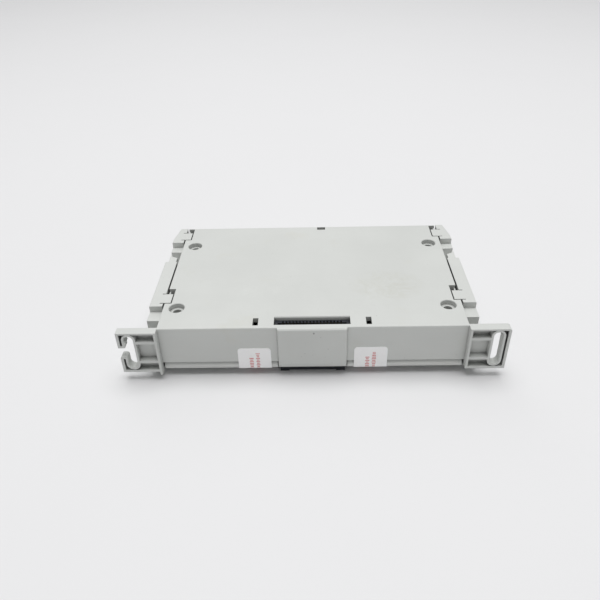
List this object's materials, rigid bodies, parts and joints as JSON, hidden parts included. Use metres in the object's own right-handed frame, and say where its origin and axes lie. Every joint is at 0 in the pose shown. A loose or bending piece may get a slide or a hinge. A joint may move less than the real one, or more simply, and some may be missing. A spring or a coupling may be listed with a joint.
{
  "type": "plc module",
  "caption": "Slim stacking controller module with ribbed panel ears, bus socket and plug, coupling slides on its ends, a status window and a hinged wiring door.",
  "frame": {"origin": "centre of the footprint, on the plane that the module stands on when it lies on its side", "axes": "+X along the case from the open ear to the closed ear, +Y from the mounting edge to the wiring edge, +Z through the stack, from the bus plug side to the bus socket side"},
  "size_m": [0.1428, 0.0788, 0.0225],
  "materials": {
    "case_plastic": "fine moulded texture, light warm grey",
    "slide_plastic": "fine moulded texture, light warm grey",
    "door_plastic": "fine moulded texture, light warm grey",
    "connector_plastic": "black glass-filled nylon",
    "contact_metal": "gold flash over nickel",
    "screw_steel": "zinc plated",
    "terminal_plastic": "black polyamide",
    "board": "green solder mask",
    "chip_body": "black moulding compound",
    "capacitor_can": "bare can",
    "label_paper": "white label with abstract marks",
    "window_clear": "smoked clear plastic",
    "light_pipe": "clear plastic",
    "led": "pale lens"
  },
  "bodies": {
    "case": {"case_shell": "case_plastic", "base_cover": "case_plastic", "circuit_board": "board", "board_screws": "screw_steel", "bus_socket": "connector_plastic", "bus_socket_contacts": "contact_metal", "bus_plug": "connector_plastic", "bus_plug_contacts": "contact_metal", "terminal_block": "terminal_plastic", "terminal_screws": "screw_steel", "terminal_cages": "contact_metal", "block_screws": "screw_steel", "terminal_header": "terminal_plastic", "header_pins": "contact_metal", "status_window": "window_clear", "light_guides": "light_pipe", "status_leds": "led", "interface_chip": "chip_body", "driver_chips": "chip_body", "optocouplers": "chip_body", "capacitors": "capacitor_can", "power_inductor": "chip_body", "crystal": "capacitor_can", "chip_resistors": "chip_body", "seal_label_left": "label_paper", "seal_label_right": "label_paper", "rating_label": "label_paper"},
    "door": {"terminal_door": "door_plastic", "door_label": "label_paper"},
    "slide_left": {"coupling_slide_left": "slide_plastic"},
    "slide_right": {"coupling_slide_right": "slide_plastic"}
  },
  "joints": [
    {"name": "door_hinge", "type": "hinge", "parent": "case", "child": "door", "pos_m": [0.0046, 0.03777, 0.0084], "axis": [-1, 0, 0], "range_deg": [0, 95]},
    {"name": "slide_left_lock", "type": "slide", "parent": "case", "child": "slide_left", "axis": [0, 1, 0], "range_m": [0, 0.0032]},
    {"name": "slide_right_lock", "type": "slide", "parent": "case", "child": "slide_right", "axis": [0, 1, 0], "range_m": [0, 0.0032]}
  ]
}
